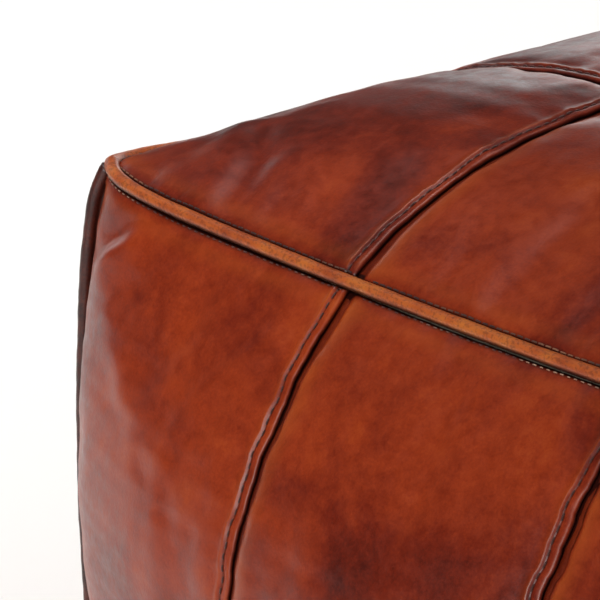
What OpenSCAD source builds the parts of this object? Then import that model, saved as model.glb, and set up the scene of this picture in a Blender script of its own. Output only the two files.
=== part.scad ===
// Square leather floor pouf: a patchwork cover with piped edges, stuffed tight over a liner bag,
// with a zip across its base. Millimetres, +Z up, origin at the bottom centre, front towards -Y.

/* [Cover] */
// Width of one square patch of the top, three to a side
patch_w = 150; // [120:1:190]
// Height of the side panels at the corners, from piping to piping
side_h = 233; // [180:1:290]
// Thickness of the leather
leather_t = 1.6; // [1.2:0.1:2.2]
// Gap between two panels that are sewn together
seam_gap = 0.4; // [0.2:0.1:1]

/* [Stuffed shape] */
// Rise of the middle of the top above the middle of its edges
top_crown = 45; // [20:1:60]
// Drop of the middle of each top edge below its corners
edge_dip = 10; // [0:1:16]
// How far the middle of each edge is drawn in
edge_pinch = 8; // [0:1:12]
// Swelling of the side faces at mid height
face_bulge = 53; // [20:1:75]
// Swelling of the upright corners at mid height
corner_bulge = 1; // [0:0.5:12]
// Extra dome of each patch of the top
patch_puff = 3.5; // [0:0.5:8]
// Extra dome of each side panel
panel_puff = 4; // [0:0.5:8]
// Height of the lower piping at the corners
base_loop_z = 14; // [10:1:24]
// Extra height of the lower piping at the middle of each edge
base_lift = 5; // [0:1:10]

/* [Piping] */
// Outer radius of the piping
piping_r = 2.6; // [2:0.1:4]
// Thickness of the piping leather
piping_ply = 0.8; // [0.5:0.1:1]
// Length of the piping's sewn flange, from the middle of its cord
flange_l = 6; // [5:0.5:8]
// Clearance between the piping and a panel's edge
piping_gap = 0.8; // [0.5:0.1:1.5]

/* [Lining] */
// Clearance between the cover's inside and the liner bag
liner_gap = 1.6; // [1.2:0.1:3]
// Thickness of the liner cloth
liner_t = 0.8; // [0.6:0.1:1.5]
// Clearance between the liner bag and the filling
fill_gap = 0.4; // [0.3:0.1:1]

/* [Zip] */
// Distance from each end of the zip tape to the piping
zip_margin = 55; // [45:1:100]
// Width of one zip tape
tape_w = 13; // [10:0.5:16]
// Thickness of the zip tape
tape_t = 0.6; // [0.4:0.1:0.8]
// Spacing of the teeth along one tape
tooth_pitch = 4; // [3.6:0.1:5]
// Length of one tooth along the zip
tooth_l = 1.6; // [1.2:0.1:1.7]
// Height of the teeth
tooth_h = 2.4; // [2:0.1:3]
// Length of the slider
slider_l = 13; // [11:0.5:16]
// Width of the slider
slider_w = 10.6; // [10:0.1:12]
// Thickness of the slider's plates
plate_t = 1.2; // [1:0.1:1.5]
// Radius of the puller's pin
pin_r = 0.7; // [0.6:0.05:0.8]
// Length of the puller's tab
puller_l = 30; // [20:1:40]
// Width of the puller's tab
puller_w = 8; // [6:0.5:9]

/* [Hidden] */

// Faces of the cover: 0 front, 1 right, 2 back, 3 left, 4 top, 5 base
TOP = 4;
BASE = 5;

leather_colours = ["#7a2c17", "#8a3519", "#6d2514", "#93401c"];
piping_colour = "#b05a22";
welt_colour = "#4d1c12";
metal_colour = "#b89a58";

// Shape of the stuffed cover
crown_power = 4.2;    // how flat the top is in its middle
side_power = 1.8;     // roundness of the sides from top to bottom
face_power = 2.3;     // roundness of the sides from corner to corner
loop_power = 11.5;    // sharpness of the corners in plan, along the piping
upright_power = 31;   // sharpness of the corners in plan, half way up the sides
flat_share = 0.78;    // share of the base that lies on the floor
base_power = 1.6;     // how softly the base leaves the floor
puff_power = 0.7;     // how steeply a patch rises from its seams

loop_half = 1.5 * patch_w;
top_loop_z = base_loop_z + side_h;
face_half = loop_half + corner_bulge + face_bulge;
top_z = top_loop_z - edge_dip + top_crown;
mid_z = top_z / 2;

// Clear distance of a panel's edge from the line of the piping: past the piping itself, and past
// its flange, which leans in under the panel at 45 degrees
sleeve_gap = 0.06;                                 // between the cord's line and each ply
flange_clear = 0.35;
edge_gap = max(piping_r + piping_gap, leather_t + sqrt(2) * (piping_ply + sleeve_gap) + flange_clear);
edge_share = 1 - edge_gap / loop_half;
side_share = 1 - 2 * edge_gap / side_h;
seam_share = 0.32;                                 // seams, as a share of the way to the piping
half_gap = seam_gap / 2;

// Zip, built up from the tape: the slider's plates clear the teeth
zip_half = loop_half - zip_margin;
zip_l = 2 * zip_half;                              // length of the zip tape
slider_clear = 0.4;
recess = 4.9;                                      // rise of the base leather beside the zip
tape_z = recess + leather_t + 0.4;                 // underside of the tape
teeth_low = tape_z + (tape_t - tooth_h) / 2;
teeth_high = teeth_low + tooth_h;
plate_low = teeth_low - slider_clear - plate_t;    // underside of the slider
plate_high = teeth_high + slider_clear + plate_t;  // top of the slider
tooth_reach = 1.2;                                 // how far a tooth passes the middle
tooth_back = 3.2;                                  // how far it holds onto its own tape
tape_edge = 1.4;                                   // tape's inner edge from the middle
slot_half = slider_w / 2 + 0.9;                    // base leather's edge from the middle
groove_half = slot_half + 20.6;                    // where the base leather meets the floor
end_clear = 10;                                    // bare tape at each end of the zip
slider_x = zip_half - end_clear - slider_l / 2 - 1;
teeth_end = slider_x + 2;
teeth_start = -zip_half + end_clear + 2;
stop_l = 4;
diamond_l = 3;
pin_clear = 0.08;                                  // running clearance of the puller on its pin
eye_r = 1.5;
eye_w = 3.6;
pin_z = plate_low - eye_r - 0.5;
pin_x = slider_x;
puller_t = 1.2;
groove_lift = plate_high + 0.6;                    // underside of the liner over the zip
lining_half = groove_half - 5;

// --- Skin of the stuffed cover ---

function unit(a) = a / norm(a);
function clamp01(t) = max(0, min(1, t));
function turn(a, p) = [cos(a) * p.x - sin(a) * p.y, sin(a) * p.x + cos(a) * p.y, p.z];

// Heights of the piping along an edge, where t runs from -1 to 1
function base_edge_z(t) = base_loop_z + base_lift * (1 - t * t);
function top_edge_z(t) = top_loop_z - edge_dip * (1 - t * t);

// Draws the corners in, so that they are round in plan
function rounding(u, w, power = loop_power) = let (m = max(abs(u), abs(w)))
    m < 0.01 ? 1 : m / pow(pow(abs(u), power) + pow(abs(w), power), 1 / power);

// Dome between two seams, or between a seam and the piping
function puff(t) = let (
    a = abs(t),
    f = a < seam_share ? (t / seam_share + 1) / 2 : (a - seam_share) / (1 - seam_share))
    pow(max(0, 4 * f * (1 - f)), puff_power);

function plan(u, w) = let (k = rounding(u, w))
    [u * (loop_half - edge_pinch * (1 - w * w)) * k, w * (loop_half - edge_pinch * (1 - u * u)) * k];

function top_skin(u, w, dome) = let (
    p = plan(u, w),
    crown = top_crown * (1 - pow(abs(u), crown_power)) * (1 - pow(abs(w), crown_power)))
    [p.x, p.y, top_loop_z - edge_dip * (1 - u * u * w * w) + crown + dome * patch_puff * puff(u) * puff(w)];

function side_skin(u, v, dome) = let (
    swell = 1 - pow(abs(v), side_power),
    across = 1 - pow(abs(u), face_power),
    half = loop_half + corner_bulge * swell,
    k = rounding(u, 1, loop_power + (upright_power - loop_power) * pow(swell, 0.7)),
    out = half - edge_pinch * (1 - u * u) * (1 - swell) + face_bulge * swell * across
        + dome * panel_puff * puff(u) * sqrt(swell),
    low = base_edge_z(u),
    high = top_edge_z(u))
    [u * half * k, -out * k, low + (high - low) * (v + 1) / 2];

// Groove in the base that keeps the zip off the floor
function groove(x, y) = recess * clamp01((groove_half - abs(y)) / (groove_half - slot_half))
    * clamp01((zip_half + 25 - abs(x)) / 20);

function base_skin(u, w, dome) = let (
    p = plan(u, w),
    m = min(1, pow(pow(abs(u), 8) + pow(abs(w), 8), 1 / 8)),
    s = m <= flat_share ? 0 : pow((m - flat_share) / (1 - flat_share), base_power))
    [p.x, p.y, (base_loop_z + base_lift * (1 - u * u * w * w)) * s + dome * groove(p.x, p.y)];

function skin(face, u, v, dome = 1) = face == TOP ? top_skin(u, v, dome)
    : face == BASE ? base_skin(u, -v, dome) : turn(90 * face, side_skin(u, v, dome));

// Outward normal of the skin
function normal(face, u, v, h = 0.004) = unit(cross(
    skin(face, min(1, u + h), v) - skin(face, max(-1, u - h), v),
    skin(face, u, min(1, v + h)) - skin(face, u, max(-1, v - h))));

// --- Panels ---

function grid(us, vs) = [for (v = vs) [for (u = us) [u, v]]];

// Lines across one third of a face, closest where the piping is
function lines(cell, far) = let (gap = half_gap / loop_half, l = far - seam_share - gap) cell == 0
    ? [for (f = [0, 0.1, 0.28, 0.5, 0.75, 1]) -far + f * l]
    : cell == 2 ? [for (f = [1, 0.75, 0.5, 0.28, 0.1, 0]) far - f * l]
    : [for (f = [-1, -0.7, -0.25, 0.25, 0.7, 1]) f * (seam_share - gap)];

function rim(nu, nv) = concat(
    [for (i = [0 : nu - 1]) i],
    [for (j = [1 : nv - 1]) j * nu + nu - 1],
    [for (i = [1 : nu - 1]) nv * nu - 1 - i],
    [for (j = [1 : nv - 2]) (nv - 1 - j) * nu]);

// One leather panel: a skin of even thickness over a grid of places on a face
module leather(face, places) {
    nv = len(places);
    nu = len(places[0]);
    all = nu * nv;
    outer = [for (row = places) for (p = row) skin(face, p[0], p[1])];
    inner = [for (row = places) for (p = row)
        skin(face, p[0], p[1]) - leather_t * normal(face, p[0], p[1])];
    border = rim(nu, nv);
    count = len(border);
    cells = [for (j = [0 : nv - 2]) for (i = [0 : nu - 2]) j * nu + i];
    faces = concat(
        [for (a = cells) each [[a, a + nu, a + nu + 1], [a, a + nu + 1, a + 1]]],
        [for (a = cells) each [[all + a, all + a + nu + 1, all + a + nu], [all + a, all + a + 1, all + a + nu + 1]]],
        [for (i = [0 : count - 1]) let (a = border[i], b = border[(i + 1) % count])
            each [[a, b, all + b], [a, all + b, all + a]]]);
    polyhedron(points = concat(outer, inner), faces = faces, convexity = 6);
}

module top_patch(column, row) {
    color(leather_colours[(column + 2 * row) % 4])
        leather(TOP, grid(lines(column, edge_share), lines(row, edge_share)));
}

module side_panel(face, column) {
    rows = [for (f = [-1, -0.93, -0.75, -0.45, -0.15, 0.15, 0.45, 0.75, 0.93, 1]) f * side_share];
    color(leather_colours[(face + column) % 4]) leather(face, grid(lines(column, edge_share), rows));
}

// Distance of a base panel's inner edge from the middle: a slot for the zip, a seam past its ends
function inner_edge(x) = half_gap + (slot_half - half_gap) * clamp01((zip_half + 9 - abs(x)) / 8);

module base_panel() {
    side_us = [for (x = [zip_half + 1, zip_half + 9, zip_half + 25]) x / loop_half];
    last = side_us[2];
    half_us = concat([for (f = [0.33, 0.68]) f * side_us[0]], side_us,
        [for (f = [0.4, 0.75, 1]) last + f * (edge_share - last)]);
    us = concat([for (i = [len(half_us) - 1 : -1 : 0]) -half_us[i]], half_us);
    groove_share = groove_half / loop_half;
    rows = [for (w = [edge_share, 0.93, 0.86, flat_share, 0.5, 0.25]) w];
    color(leather_colours[2]) leather(BASE, concat(
        [for (f = [0, 0.5, 1]) [for (u = us) let (edge = inner_edge(u * loop_half) / loop_half)
            [u, edge + f * (groove_share - edge)]]],
        [for (i = [len(rows) - 1 : -1 : 0]) [for (u = us) [u, rows[i]]]]));
}

// --- Piping ---

// Leather folded round the cord, with its two plies running in to the seam
function sleeve_profile(steps = 8) = let (
    gap = sleeve_gap,
    bore = piping_r - piping_ply,
    outer_a = asin((piping_ply + gap) / piping_r),
    inner_a = asin(gap / bore))
    concat(
        [[-piping_ply - gap, -flange_l]],
        [for (i = [0 : steps]) let (a = 270 - outer_a - i * (360 - 2 * outer_a) / steps)
            piping_r * [cos(a), sin(a)]],
        [[piping_ply + gap, -flange_l], [gap, -flange_l]],
        [for (i = [steps : -1 : 0]) let (a = 270 - inner_a - i * (360 - 2 * inner_a) / steps)
            bore * [cos(a), sin(a)]],
        [[-gap, -flange_l]]);

cord_r = 0.86 * (piping_r - piping_ply);
function cord_profile(steps = 8) = [for (i = [0 : steps - 1]) let (a = -360 * i / steps)
    cord_r * [cos(a), sin(a)]];

// Sweeps a profile along rings, each [centre, along, outward]
module sweep(rings, profile) {
    n = len(profile);
    points = [for (r = rings)
        let (out = unit(r[2] - (r[2] * r[1]) * r[1]), side = cross(r[1], out))
        for (p = profile) r[0] + p[0] * side + p[1] * out];
    last = (len(rings) - 1) * n;
    faces = concat(
        [[for (i = [0 : n - 1]) n - 1 - i]],
        [for (k = [0 : len(rings) - 2]) for (i = [0 : n - 1])
            let (a = k * n + i, b = k * n + (i + 1) % n) each [[a, b, b + n], [a, b + n, a + n]]],
        [[for (i = [0 : n - 1]) last + i]]);
    polyhedron(points = points, faces = faces, convexity = 8);
}

// Places round an edge loop, from the joint at the middle of the back: [face, u]
loop_steps = 12;
joint_gap = 0.0008;
loop_places = [for (i = [0 : 4 * loop_steps]) let (
    q = 2.5 + i / loop_steps,
    f = floor(q),
    u = sin(90 * (2 * (q - f) - 1)))
    [f % 4, i == 0 ? joint_gap : i == 4 * loop_steps ? -joint_gap : u]];

function loop_point(i, v) = skin(loop_places[i][0], loop_places[i][1], v, 0);

function loop_rings(v) = let (last = len(loop_places) - 1)
    [for (i = [0 : last]) let (
        along = unit(loop_point(min(last, i + 1), v) - loop_point(max(0, i - 1), v)),
        out = unit(cross(along, [0, 0, 1])))
        [loop_point(i, v), along, out + [0, 0, v]]];

// Rings down an upright corner, from under the top piping to above the base piping
corner_share = 1 - 2 * (flange_l * 0.7 + 0.4) / side_h;
function corner_rings(face) = [for (f = [1, 0.9, 0.65, 0.35, 0, -0.35, -0.65, -0.9, -1]) let (
    v = f * corner_share,
    p = skin(face, -1, v, 0),
    along = unit(skin(face, -1, v - 0.02, 0) - skin(face, -1, v + 0.02, 0)))
    [p, along, [p.x, p.y, 0]]];

module piping_cover(rings, shade) {
    color(shade) sweep(rings, sleeve_profile());
}

module piping_cord(rings) {
    color("#d9cdb4") sweep(rings, cord_profile());
}

// --- Lining ---

// Depth of the lining under the skin: deeper along the edges, where the seams are folded in
function lining_depth(extra, m) = leather_t + liner_gap + extra + flange_l * pow(m, 10);

// A skin point moved in by a depth
function sunk(p, depth) = [p.x * (1 - depth / face_half), p.y * (1 - depth / face_half),
    mid_z + (p.z - mid_z) * (1 - depth / mid_z)];

lining_us = [-1, -0.93, -0.72, -0.36, 0, 0.36, 0.72, 0.93];
function lining_ring(v, extra) = [for (face = [0 : 3]) for (u = lining_us)
    sunk(skin(face, u, v, 0), lining_depth(extra, max(abs(u), abs(v))))];
function lid_ring(face, m, extra) = [for (side = [0 : 3]) for (u = lining_us)
    let (q = turn(90 * side, [m * u, -m, 0]))
    sunk(face == TOP ? top_skin(q.x, q.y, 0) : base_skin(q.x, q.y, 0), lining_depth(extra, m))];

// Closed body that follows the cover, a given depth inside it
module lining_body(extra) {
    base_ms = [0.4, flat_share, 0.9];
    top_ms = [0.93, 0.8, 0.55, 0.28];
    rings = concat(
        [for (m = base_ms) lid_ring(BASE, m, extra)],
        [for (v = [-1, -0.88, -0.6, -0.2, 0.2, 0.6, 0.88, 1]) lining_ring(v, extra)],
        [for (m = top_ms) lid_ring(TOP, m, extra)]);
    n = len(rings[0]);
    last = len(rings) - 1;
    centres = [sunk(base_skin(0, 0, 0), lining_depth(extra, 0)), sunk(top_skin(0, 0, 0), lining_depth(extra, 0))];
    low = len(rings) * n;
    faces = concat(
        [for (i = [0 : n - 1]) [low, i, (i + 1) % n]],
        [for (k = [0 : last - 1]) for (i = [0 : n - 1])
            let (a = k * n + i, b = k * n + (i + 1) % n) each [[a, b + n, b], [a, a + n, b + n]]],
        [for (i = [0 : n - 1]) [low + 1, last * n + (i + 1) % n, last * n + i]]);
    polyhedron(points = concat([for (r = rings) each r], centres), faces = faces, convexity = 4);
}

// Lining with the room that the zip takes
module lining(extra) {
    difference() {
        lining_body(extra);
        translate([-zip_half - 22 - extra, -lining_half - extra, -10])
            cube([zip_l + 44 + 2 * extra, 2 * (lining_half + extra), 10 + groove_lift + extra]);
    }
}

module liner_bag() {
    color("#e8e0cc") difference() {
        lining(0);
        lining(liner_t);
    }
}

module filling() {
    color("#f1ede2") lining(liner_t + fill_gap);
}

// --- Zip ---

// Draws in the YZ plane and extrudes along X
module along_x(x, l) {
    translate([x, 0, 0]) rotate([90, 0, 90]) linear_extrude(l) children();
}

module zip_tape() {
    color("#2b1a14") translate([-zip_half, tape_edge, tape_z]) cube([zip_l, tape_w, tape_t]);
}

// One tooth: it grips its tape from both sides and passes the middle
module tooth_outline() {
    cut = 0.05;
    difference() {
        translate([-tooth_reach, teeth_low]) square([tooth_reach + tooth_back, tooth_h]);
        translate([tape_edge - cut, tape_z - cut]) square([tooth_back, tape_t + 2 * cut]);
    }
}

module zip_teeth(shift) {
    count = floor((teeth_end - teeth_start - shift - tooth_l) / tooth_pitch);
    color(metal_colour) for (i = [0 : count])
        along_x(teeth_start + shift + i * tooth_pitch, tooth_l) tooth_outline();
}

module zip_bottom_stop() {
    cut = 0.05;
    color(metal_colour) along_x(teeth_start - stop_l - 1, stop_l) difference() {
        translate([-tooth_back, teeth_low]) square([2 * tooth_back, tooth_h]);
        for (s = [0, 1]) mirror([s, 0]) translate([tape_edge - cut, tape_z - cut])
            square([tooth_back, tape_t + 2 * cut]);
    }
}

module zip_top_stops() {
    cut = 0.05;
    color(metal_colour) for (s = [0, 1]) mirror([0, s, 0])
        along_x(slider_x + slider_l / 2 + 0.6, 3) difference() {
            translate([tape_edge - 0.8, teeth_low]) square([tooth_back - 0.6, tooth_h]);
            translate([tape_edge - cut, tape_z - cut]) square([tooth_back, tape_t + 2 * cut]);
        }
}

// Slider: two plates joined by the wedge that parts the teeth, with ears that hold the puller's pin
module zip_slider() {
    rail_w = 0.9;
    rail_h = (plate_high - plate_low - 2 * plate_t - tape_t) / 2 - slider_clear;
    ear_t = 1;
    ear_in = eye_w / 2 + 0.15;
    color(metal_colour) {
        translate([slider_x - slider_l / 2, -slider_w / 2, plate_low]) cube([slider_l, slider_w, plate_t]);
        translate([slider_x - slider_l / 2, -slider_w / 2, plate_high - plate_t])
            cube([slider_l, slider_w, plate_t]);
        translate([slider_x + slider_l / 2 - diamond_l - 1, 0, plate_low])
            linear_extrude(plate_high - plate_low)
                polygon([[0, 0], [diamond_l / 2, -1.2], [diamond_l, 0], [diamond_l / 2, 1.2]]);
        for (s = [0, 1]) mirror([0, s, 0]) {
            translate([slider_x - slider_l / 2, slider_w / 2 - rail_w, plate_low])
                cube([slider_l, rail_w, plate_t + rail_h]);
            translate([slider_x - slider_l / 2, slider_w / 2 - rail_w, plate_high - plate_t - rail_h])
                cube([slider_l, rail_w, plate_t + rail_h]);
            translate([pin_x, ear_in, pin_z]) rotate([-90, 0, 0]) cylinder(h = ear_t, r = eye_r, $fn = 32);
            translate([pin_x - eye_r, ear_in, pin_z]) cube([2 * eye_r, ear_t, plate_low - pin_z + 0.1]);
        }
        translate([pin_x, -ear_in - ear_t / 2, pin_z]) rotate([-90, 0, 0])
            cylinder(h = 2 * ear_in + ear_t, r = pin_r, $fn = 32);
    }
}

// Puller: an eye on the slider's pin and a tab that lies flat under the slider
module zip_puller() {
    neck_l = 3.2;
    color(metal_colour) difference() {
        union() {
            translate([pin_x, -eye_w / 2, pin_z]) rotate([-90, 0, 0])
                cylinder(h = eye_w, r = eye_r - 0.1, $fn = 32);
            translate([pin_x - neck_l, -eye_w / 2, pin_z - puller_t / 2]) cube([neck_l, eye_w, puller_t]);
            translate([pin_x - puller_l, -puller_w / 2, pin_z - puller_t / 2])
                cube([puller_l - neck_l + 0.01, puller_w, puller_t]);
            translate([pin_x - puller_l, 0, pin_z - puller_t / 2])
                cylinder(h = puller_t, r = puller_w / 2, $fn = 48);
        }
        translate([pin_x, -eye_w, pin_z]) rotate([-90, 0, 0])
            cylinder(h = 2 * eye_w, r = pin_r + pin_clear, $fn = 32);
        translate([pin_x - puller_l, 0, pin_z - puller_t]) cylinder(h = 2 * puller_t, r = 1.8, $fn = 32);
    }
}

// --- Nodes ---

for (row = [0 : 2]) for (column = [0 : 2])
    top_patch(column, row);
for (face = [0 : 3]) for (column = [0 : 2])
    side_panel(face, column);
piping_cover(loop_rings(1), piping_colour);  // top_piping_cover
piping_cord(loop_rings(1));  // top_piping_cord
piping_cover(loop_rings(-1), welt_colour);  // base_piping_cover
piping_cord(loop_rings(-1));  // base_piping_cord
for (face = [0 : 3])
    piping_cover(corner_rings(face), welt_colour);
for (face = [0 : 3])
    piping_cord(corner_rings(face));
base_panel();  // base_panel_front
mirror([0, 1, 0]) base_panel();  // base_panel_back
mirror([0, 1, 0]) zip_tape();  // zip_tape_front
zip_tape();  // zip_tape_back
mirror([0, 1, 0]) zip_teeth(0);  // zip_teeth_front
zip_teeth(tooth_pitch / 2);  // zip_teeth_back
zip_bottom_stop();
zip_top_stops();
zip_slider();
zip_puller();
liner_bag();
filling();
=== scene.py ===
# Square leather floor pouf: a patchwork cover with piped edges and a zipped base, stuffed tight.
# Metres, +Z up, the front face looks along -Y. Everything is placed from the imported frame.
import math
import bpy
import numpy as np
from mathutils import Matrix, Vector


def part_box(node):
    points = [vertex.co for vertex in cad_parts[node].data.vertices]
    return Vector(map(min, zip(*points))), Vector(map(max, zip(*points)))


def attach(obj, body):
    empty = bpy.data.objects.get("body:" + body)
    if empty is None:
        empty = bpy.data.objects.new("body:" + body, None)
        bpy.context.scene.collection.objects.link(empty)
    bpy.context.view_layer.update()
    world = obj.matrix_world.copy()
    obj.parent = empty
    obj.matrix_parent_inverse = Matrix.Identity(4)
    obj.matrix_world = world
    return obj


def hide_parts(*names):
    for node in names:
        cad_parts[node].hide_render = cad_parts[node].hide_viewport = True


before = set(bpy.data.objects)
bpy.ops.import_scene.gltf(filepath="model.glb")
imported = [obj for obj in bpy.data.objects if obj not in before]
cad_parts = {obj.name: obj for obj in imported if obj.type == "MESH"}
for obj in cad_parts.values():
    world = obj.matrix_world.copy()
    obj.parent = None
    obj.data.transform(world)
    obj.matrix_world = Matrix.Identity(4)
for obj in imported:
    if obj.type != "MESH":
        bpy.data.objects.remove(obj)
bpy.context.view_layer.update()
print("frame:", len(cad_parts), "nodes")

mm = 0.001

# Camera, lights and floor

studio = {
    "azimuth": 48.96, "elevation": 19.38, "distance": 1.575, "lens": 256.5,
    "aim": (-0.1264, -0.1922, 0.2106),
    "floorSize": 16.0, "floorColour": "#f6f4f1",
    "world": 0.04,
}
# Where each lamp hangs, what it is turned to, its two sides, its watts and its spread in degrees
lamps = {
    "floor_light": ((-1.25, 0.5, 1.5), (-1.25, 0.501, 0), (2.3, 2.9), 17, 50),
    "backdrop_strip": ((-1.5, 2.3, 0.62), (0, 0, 0.3), (2.0, 0.75), 11, 180),
    "left_light": ((-1.75, 0.1, 0.5), (-0.2, -0.1, 0.15), (0.5, 0.8), 2, 180),
    "front_key": ((0.75, -2.3, 1.0), (0, 0, 0.12), (1.4, 1.0), 36, 180),
    "top_light": ((0.3, 0.2, 2.4), (0, 0, 0.2), (1.2, 1.2), 7, 180),
}


# sRGB hex to linear RGBA
def linear(code):
    parts = [int(code[i:i + 2], 16) / 255 for i in (1, 3, 5)]
    return [c / 12.92 if c <= 0.04045 else ((c + 0.055) / 1.055) ** 2.4 for c in parts] + [1.0]


def fill(tree, node, inputs):
    for socket, value in inputs.items():
        if isinstance(value, bpy.types.NodeSocket):
            tree.links.new(value, node.inputs[socket])
        else:
            node.inputs[socket].default_value = value


# Adds a node with its settings, links or fills its inputs, and gives back one of its outputs. The inputs
# go by name or by number. A colour ramp also takes its stops.
def addNode(tree, kind, inputs, out=0, stops=(), **settings):
    node = tree.nodes.new(kind)
    for name, value in settings.items():
        setattr(node, name, value)
    fill(tree, node, inputs)
    for number, (place, colour) in enumerate(stops):
        band = node.color_ramp.elements
        element = band[number] if number < 2 else band.new(place)
        element.position = place
        element.color = linear(colour)
    return node.outputs[out] if node.outputs else None


# A material, its nodes and its shader, which is filled last
def newMaterial(name):
    material = bpy.data.materials.new(name)
    material.use_nodes = True
    tree = material.node_tree
    return material, tree, tree.nodes["Principled BSDF"]


def direction(azimuth, elevation):
    a, e = math.radians(azimuth), math.radians(elevation)
    return Vector((math.sin(a) * math.cos(e), -math.cos(a) * math.cos(e), math.sin(e)))


# Puts a lamp or the camera in its place, turned so that back points away from what it looks at
def hang(name, data, place, back):
    thing = bpy.data.objects.new(name, data)
    thing.location = place
    thing.rotation_mode = "QUATERNION"
    thing.rotation_quaternion = (-back).to_track_quat("-Z", "Y")
    bpy.context.scene.collection.objects.link(thing)
    return thing


def makeCamera():
    data = bpy.data.cameras.new("camera")
    data.lens = studio["lens"]
    data.sensor_width = 36
    data.clip_start = 0.05
    data.clip_end = 50
    back = direction(studio["azimuth"], studio["elevation"])
    place = Vector(studio["aim"]) + back * studio["distance"]
    bpy.context.scene.camera = hang("camera", data, place, back)


def softbox(name, place, aim, size, power, spread):
    data = bpy.data.lights.new(name, "AREA")
    data.shape = "RECTANGLE"
    data.size, data.size_y = size
    data.energy = power
    data.spread = math.radians(spread)
    lamp = hang(name, data, place, (Vector(place) - Vector(aim)).normalized())
    lamp.visible_camera = False


def makeFloor():
    half = studio["floorSize"] / 2
    mesh = bpy.data.meshes.new("floor")
    corners = [(x * half, y * half, 0) for x, y in ((-1, -1), (1, -1), (1, 1), (-1, 1))]
    mesh.from_pydata(corners, [], [(0, 1, 2, 3)])
    floor = bpy.data.objects.new("floor", mesh)
    bpy.context.scene.collection.objects.link(floor)
    material, tree, shader = newMaterial("floor_paper")
    fill(tree, shader, {"Base Color": linear(studio["floorColour"]), "Roughness": 0.9,
                        "Specular IOR Level": 0.1})
    mesh.materials.append(material)


def makeWorld():
    world = bpy.data.worlds.new("studio")
    world.use_nodes = True
    world.node_tree.nodes["Background"].inputs["Color"].default_value = (1, 1, 1, 1)
    world.node_tree.nodes["Background"].inputs["Strength"].default_value = studio["world"]
    bpy.context.scene.world = world
    bpy.context.scene.view_settings.view_transform = "Standard"


makeCamera()
makeFloor()
makeWorld()
for name, lamp in lamps.items():
    softbox(name, *lamp)
print("studio ready")

# Skin of the stuffed cover

pouf = {
    "zipMargin": 0.055, "slotGap": 0.9 * mm, "cordRadius": 0.00155, "seamShare": 0.32,
    "edgeDip": 0.010, "edgePinch": 0.008, "topCrown": 0.0435, "faceBulge": 0.053, "cornerBulge": 0.001,
    "patchPuff": 0.0022, "panelPuff": 0.004, "puffPower": 0.7,
    "crownPower": 4.2, "sidePower": 1.8, "facePower": 2.3, "loopPower": 11.5, "loopFade": 10,
    "uprightPower": 26.0, "uprightBlend": 0.7, "cornerFlat": 12.0, "tuck": 0.004, "tuckFade": 0.1,
    "shoulder": 0.0032, "shoulderStart": 0.006, "shoulderEnd": 0.07,
    "baseLift": 0.005, "baseSquare": 8, "flatShare": 0.78, "basePower": 1.6,
    "grooveRise": 0.0049, "grooveHalf": 0.0268, "grooveEnd": 0.025, "grooveRamp": 0.020,
}
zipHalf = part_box("zip_tape_back")[1].x
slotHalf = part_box("zip_slider")[1].y + pouf["slotGap"]
loopHalf = zipHalf + pouf["zipMargin"]
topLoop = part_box("top_piping_cord")[1].z - pouf["cordRadius"]
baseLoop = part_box("base_piping_cord")[0].z + pouf["cordRadius"]
seam = pouf["seamShare"]
edges = [-1.0, -seam, seam, 1.0]


# How far the corners of a square loop are drawn in: 1 along its sides, less at its corners
def rounding(u, w, power):
    m = np.maximum(np.abs(u), np.abs(w))
    full = (np.abs(u) ** power + np.abs(w) ** power) ** (1 / power)
    return 1 - (1 - m / np.maximum(full, 1e-9)) * m ** pouf["loopFade"]


# Swell of one patch between its own seams
def puff(t, cell):
    f = np.clip((t - edges[cell]) / (edges[cell + 1] - edges[cell]), 0, 1)
    return (4 * f * (1 - f)) ** pouf["puffPower"]


def plan(u, w):
    k = rounding(u, w, pouf["loopPower"])
    x = u * (loopHalf - pouf["edgePinch"] * (1 - w * w)) * k
    y = w * (loopHalf - pouf["edgePinch"] * (1 - u * u)) * k
    return x, y


def topSkin(u, w, cells=None):
    x, y = plan(u, w)
    p = pouf["crownPower"]
    crown = pouf["topCrown"] * (1 - np.abs(u) ** p) * (1 - np.abs(w) ** p)
    z = topLoop - pouf["edgeDip"] * (1 - u * u * w * w) + crown
    if cells:
        z = z + pouf["patchPuff"] * puff(u, cells[0]) * puff(w, cells[1])
        z = z + pouf["shoulder"] * shoulder(u) * shoulder(w)
    return np.stack([x, y, z], -1)


# How the stuffing pushes the top up just inside its piping
def shoulder(t):
    inward = (1 - np.abs(t)) * loopHalf
    return (1 - np.exp(-inward / pouf["shoulderStart"])) * np.exp(-inward / pouf["shoulderEnd"])


def sideSkin(u, v, cells=None):
    swell = np.maximum(0, 1 - np.abs(v) ** pouf["sidePower"])
    across = 1 - np.abs(u) ** pouf["facePower"]
    half = loopHalf + pouf["cornerBulge"] * swell
    power = pouf["loopPower"] + (pouf["uprightPower"] - pouf["loopPower"]) * swell ** pouf["uprightBlend"]
    k = rounding(u, np.ones_like(u), power)
    out = half - pouf["edgePinch"] * (1 - u * u) * (1 - swell) + pouf["faceBulge"] * swell * across
    if cells:
        near = np.abs(u) ** pouf["cornerFlat"]
        out = out + pouf["panelPuff"] * puff(u, cells[0]) * np.sqrt(swell) * (1 - near)
        out = out - pouf["tuck"] * near * np.minimum(1, (1 - np.abs(v)) / pouf["tuckFade"])
    low = baseLoop + pouf["baseLift"] * (1 - u * u)
    high = topLoop - pouf["edgeDip"] * (1 - u * u)
    return np.stack([u * half * k, -out * k, low + (high - low) * (v + 1) / 2], -1)


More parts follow.
